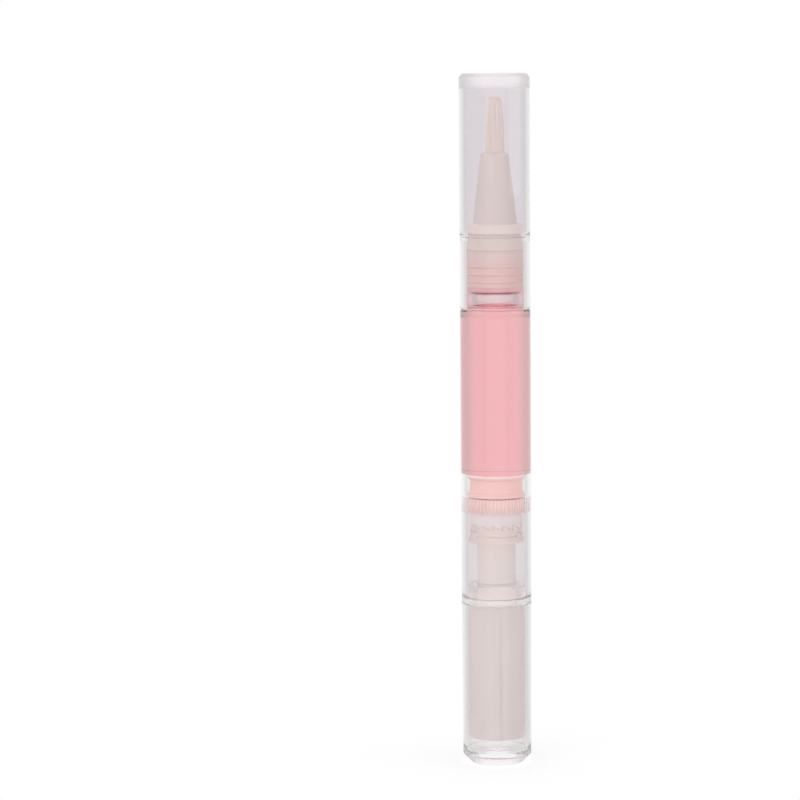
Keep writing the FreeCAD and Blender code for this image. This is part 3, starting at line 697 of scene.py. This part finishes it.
class PEN_OT_moulded_parts(bpy.types.Operator):
    """Half-clear collar, piston, nut, and the finishes of ratchet, sleeve and feed tube"""

    bl_idname = "pen.moulded_parts"
    bl_label = "Moulded parts"

    def execute(self, context):
        sizes, colours = context.scene.pen_sizes, context.scene.pen_colours
        milky = moulded_plastic("natural_plastic", tuple(colours.natural), clearness=0.4,
                                roughness=0.4, passing=0.9)
        pale = moulded_plastic("collar_plastic", tuple(colours.collar), clearness=0.78,
                               roughness=0.04, passing=0.95)
        dull = moulded_plastic("sleeve_plastic", tuple(colours.white))
        ring = lifted(outline_of("rear_collar"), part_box("barrel")[0].z, -sizes.contact)
        rims = sorted(height for radius, height in ring if radius == max(ring)[0])
        ring = lifted(lifted(ring, rims[0], -sizes.rim_close), rims[1], sizes.rim_close)
        bore = max(radius for radius, height in outline_of("oil_fill"))
        plug = max(radius for radius, height in ring if height > rims[1] + sizes.rim_close)
        ring = [(bore + sizes.wetting if radius == plug else radius, height)
                for radius, height in ring]
        collar = turned_round("clear_collar", ring, sizes.soft_edge, sizes.steps)
        settle(collar, "barrel", "natural_plastic", pale, "rear_collar")
        foot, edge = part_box("piston")[0].z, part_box("piston")[1]
        # The piston's pink is a painted glow of light that has passed through the oil; the cup and
        # the lip's top, seen through the oil, stay plain.
        piston_glow_start, piston_glow_end = foot + 1.0 * MM, foot + 2.6 * MM
        plain_core, plain_lip = edge.x - 0.5 * MM, edge.z - 0.2 * MM
        pink = stain_and_glow_plastic("piston_plastic", tuple(colours.natural), tuple(colours.piston_pink_glow),
                               piston_glow_start, piston_glow_end, plain_part=(plain_core, plain_lip))
        piston = turned_round("wiper_piston", outline_of("piston"), sizes.lip_edge, sizes.steps)
        settle(piston, "piston", "natural_plastic", pink, "piston")
        # The nut's pink is a painted glow of light that has come through the oil and the piston.
        nut_glow_start, nut_glow_end = foot - 2.2 * MM, foot - 0.2 * MM
        nut_pink_glow = stain_and_glow_plastic("nut_plastic", tuple(colours.natural), tuple(colours.nut_pink_glow),
                                  nut_glow_start, nut_glow_end, passing=0.8)
        nut = pressed_in("knurled_nut", "screw_nut", bore + sizes.wetting)
        settle(nut, "barrel", "natural_plastic", nut_pink_glow, "screw_nut")
        for node, material in (("ratchet_spring", milky), ("feed_tube", milky),
                               ("drive_sleeve", dull)):
            dress(node, material)
        return {"FINISHED"}


class PEN_OT_screw_rod(bpy.types.Operator):
    """Screw rod with a two-start thread, two flats and a snap head"""

    bl_idname = "pen.screw_rod"
    bl_label = "Screw rod"

    def execute(self, context):
        sizes, colours = context.scene.pen_sizes, context.scene.pen_colours
        low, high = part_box("screw_rod")
        crest, flat = high.x, high.y
        stem_end = high.z - sizes.head_length
        starts, around, per_pitch = 2, 48, 8
        flank, crest_share = 2.6, 0.35  # steepness of the thread's sides, and how wide its crest is
        neck, head, tip = 0.48 * crest, 0.72 * crest, 0.44 * crest
        neck_end = stem_end + 0.6 * sizes.head_length
        lead = starts * sizes.thread_pitch
        levels = int((stem_end - low.z) / sizes.thread_pitch * per_pitch)
        outline = [(0.0, low.z, False)]
        outline += [(crest, low.z + (stem_end - low.z) * level / levels, True)
                    for level in range(levels + 1)]
        outline += [(neck, stem_end, False), (neck, neck_end, False), (head, neck_end, False),
                    (tip, high.z, False), (0.0, high.z, False)]
        shape = bmesh.new()
        rings = []
        for radius, height, threaded in outline:
            if not radius:
                rings.append([shape.verts.new((0, 0, height))])
                continue
            ring = []
            for step in range(around):
                angle = math.tau * step / around
                reach = radius
                if threaded:
                    wave = (starts * (height / lead - angle / math.tau)) % 1
                    groove = flank * abs(wave - 0.5) - crest_share
                    reach -= sizes.thread_depth * min(1, max(0, groove))
                x, y = reach * math.cos(angle), reach * math.sin(angle)
                if threaded:
                    y = max(-flat, min(flat, y))
                ring.append(shape.verts.new((x, y, height)))
            rings.append(ring)
        skin(shape, rings, around)
        bmesh.ops.recalc_face_normals(shape, faces=shape.faces)
        rod = piece_from("threaded_rod", shape)
        rod.data.set_sharp_from_angle(angle=ROD_CREASE)
        settle(rod, "rod", "white_plastic", moulded_plastic("rod_plastic", tuple(colours.white)),
               "screw_rod")
        return {"FINISHED"}


def radius_at(edge, height):
    """Radius of the tuft at a height, between the points of its edge."""
    for (low, first), (high, second) in zip(edge, edge[1:]):
        if low <= height <= high and high > low:
            return first + (second - first) * (height - low) / (high - low)
    return edge[-1][1]


class PEN_OT_bristles(bpy.types.Operator):
    """Nylon filaments that stand in the holder and draw in to a blunt tip"""

    bl_idname = "pen.bristles"
    bl_label = "Bristles"

    def execute(self, context):
        sizes, colours = context.scene.pen_sizes, context.scene.pen_colours
        nylon = bristle_nylon("bristle_nylon", tuple(colours.nylon))
        outline = [spot for spot in outline_of("bristle_tuft") if spot[0] > 0]
        widest = max(radius for radius, height in outline)
        low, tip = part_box("bristle_tuft")[0].z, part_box("bristle_tuft")[1].z - sizes.bristle_trim
        hole = 0.5 * widest  # what lies nearer the axis is the feed tube's hole
        edge = sorted((height, radius) for radius, height in outline if radius > hole)
        mouth = max(height for height, radius in edge if widest - radius < 2 * SAME)
        draw = random.Random(BRISTLE_SEED)
        shape = bmesh.new()
        sides, thickness = 5, widest / math.sqrt(sizes.bristle_count)
        levels = [low, 0.5 * (low + mouth), mouth]
        levels += [mouth + (tip - mouth) * part for part in BRISTLE_LEVELS]
        for place in range(sizes.bristle_count):
            spread = math.sqrt((place + 0.5) / sizes.bristle_count)
            bearing = place * GOLDEN_TURN
            end = tip - sizes.bristle_ragged * draw.random() ** 2
            stray = draw.uniform(-1, 1) * sizes.bristle_stray
            rings = []
            for level in levels:
                height = min(level, end)
                width = radius_at(edge, height) / widest
                rise = max(0, (height - mouth) / (tip - mouth))
                centre = (widest - thickness) * width * spread + stray * rise
                girth = thickness * width
                turns = [bearing + math.tau * side / sides for side in range(sides)]
                rings.append([
                    shape.verts.new((centre * math.cos(bearing) + girth * math.cos(turn),
                                     centre * math.sin(bearing) + girth * math.sin(turn), height))
                    for turn in turns
                ])
                if level >= end:
                    break
            skin(shape, rings, sides)
            shape.faces.new(rings[-1])
            shape.faces.new(reversed(rings[0]))
        tuft = piece_from("bristles", shape)
        tuft.data.set_sharp_from_angle(angle=BRISTLE_CREASE)
        settle(tuft, "barrel", "nylon", nylon, "bristle_tuft")
        dress("bristle_root", nylon)
        return {"FINISHED"}


class PEN_OT_stage(bpy.types.Operator):
    """Pale floor, white background, soft lamps and the camera"""

    bl_idname = "pen.stage"
    bl_label = "Stage"

    def execute(self, context):
        scene, stage = context.scene, context.scene.pen_stage
        scene.view_settings.view_transform = "Standard"
        scene.cycles.max_bounces = stage.bounces
        scene.cycles.transmission_bounces = stage.bounces
        scene.cycles.glossy_bounces = stage.bounces
        scene.cycles.diffuse_bounces = stage.dull_bounces
        self.make_world(scene, stage)
        self.make_floor(stage)
        for name, place, size, power in LAMPS:
            self.make_lamp(scene, name, Vector(place), size, power)
        camera = bpy.data.cameras.new("camera")
        camera.lens = stage.lens
        camera.clip_start, camera.clip_end = 0.01, 20
        eye = bpy.data.objects.new("camera", camera)
        eye.location = stage.eye
        eye.rotation_euler = (math.pi / 2 - stage.pitch, stage.roll, 0)
        scene.collection.objects.link(eye)
        scene.camera = eye
        return {"FINISHED"}

    def make_world(self, scene, stage):
        """White behind everything that is seen, plain soft light on dull surfaces."""
        world = bpy.data.worlds.new("studio")
        scene.world = world
        tree = Tree(world)
        toward = tree.add("ShaderNodeTexCoord", output="Generated")
        light = tree.add("ShaderNodeBackground", inputs={
            "Color": self.brightness(tree, stage, toward), "Strength": 1.0})
        tree.add("ShaderNodeOutputWorld", inputs={"Surface": light})

    def brightness(self, tree, stage, toward):
        """White to the eye, plain light on dull surfaces, and darker sides in clear plastic."""
        dull = tree.path("Diffuse Depth") > 0.5
        walls = tree.rise(tree.path("Transmission Depth"), 0, stage.inner_walls)
        inner = walls * stage.inner_light
        heading_out = tree.add("ShaderNodeVectorMath", {"operation": "NORMALIZE"}, {0: toward})
        across = tree.add("ShaderNodeSeparateXYZ", inputs={0: heading_out}, output="X")
        side = tree.rise(across * across, stage.side_start, stage.side_end)
        dim = (tree.path("Is Transmission Ray") * stage.side_dim
               + tree.path("Is Reflection Ray") * stage.mirror_dim)
        return 1 - dull * (1 - stage.ambient - inner) - (1 - dull) * side * dim

    def make_floor(self, stage):
        """A wide pale floor: white far off, white under the clear foot as painted light, shaded
        close round the pen.
        """
        shape = bmesh.new()
        bmesh.ops.create_circle(shape, cap_ends=True, segments=96, radius=stage.floor_reach)
        bmesh.ops.translate(shape, verts=shape.verts, vec=(0, 0, -stage.floor_depth))
        floor = piece_from("floor", shape)
        material, tree = new_finish("pale_floor")
        away = tree.add("ShaderNodeVectorMath", {"operation": "LENGTH"}, {0: tree.places()},
                        output="Value")
        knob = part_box("knob_shell")[1].x
        # Within this reach of the axis the floor is white emission, painted light under the clear
        # foot, and shaded paper round it.
        near = (tree.rise(away, stage.shadow_reach, 0.0)
                * tree.rise(away, stage.painted_light_radius * knob, stage.full_shade * knob))
        white = tree.add("ShaderNodeEmission", inputs={
            "Color": self.brightness(tree, stage, tree.places()), "Strength": 1.0})
        grain = tree.noise(PAPER_SPOTS, detail=3)
        paper = tree.add("ShaderNodeBsdfPrincipled", inputs={
            "Base Color": tree.mix(grain, (0.95, 0.95, 0.95), (0.93, 0.93, 0.93)),
            "Roughness": 0.9,
            "Specular IOR Level": 0.0,
        })
        both = tree.add("ShaderNodeMixShader", inputs={
            0: near * stage.shadow_share, 1: white, 2: paper})
        tree.add("ShaderNodeOutputMaterial", inputs={"Surface": both})
        floor.data.materials.append(material)

    def make_lamp(self, scene, name, place, size, power):
        """One soft square lamp that faces the pen's middle."""
        lamp = bpy.data.lights.new(name, "AREA")
        lamp.size = size
        lamp.energy = power
        holder = bpy.data.objects.new(name, lamp)
        holder.location = place
        holder.visible_transmission = False
        holder.rotation_euler = (place - LAMPS_FACE).to_track_quat("Z", "Y").to_euler()
        scene.collection.objects.link(holder)


class PEN_PT_panel(bpy.types.Panel):
    """Buttons and sizes of the pen"""

    bl_idname = "PEN_PT_panel"
    bl_label = "Nail oil pen"
    bl_space_type = "VIEW_3D"
    bl_region_type = "UI"
    bl_category = "Pen"

    def draw(self, context):
        for operator in OPERATORS:
            self.layout.operator(operator.bl_idname)
        for group in GROUPS:
            values = getattr(context.scene, group)
            for name in values.bl_rna.properties.keys():
                if name not in ("rna_type", "name"):
                    self.layout.prop(values, name)


GROUPS = {"pen_sizes": PenSizes, "pen_colours": PenColours, "pen_stage": PenStage}
OPERATORS = (PEN_OT_clear_shells, PEN_OT_oil, PEN_OT_holder, PEN_OT_moulded_parts, PEN_OT_screw_rod,
             PEN_OT_bristles, PEN_OT_stage)
CLASSES = (*GROUPS.values(), *OPERATORS, PEN_PT_panel)


def register():
    for cls in CLASSES:
        bpy.utils.register_class(cls)
    for name, group in GROUPS.items():
        setattr(bpy.types.Scene, name, PointerProperty(type=group))


def unregister():
    for name in GROUPS:
        delattr(bpy.types.Scene, name)
    for cls in reversed(CLASSES):
        bpy.utils.unregister_class(cls)


def main():
    register()
    bpy.ops.pen.clear_shells()
    bpy.ops.pen.oil()
    bpy.ops.pen.holder()
    bpy.ops.pen.moulded_parts()
    bpy.ops.pen.screw_rod()
    bpy.ops.pen.bristles()
    bpy.ops.pen.stage()


if __name__ == "__main__":
    main()
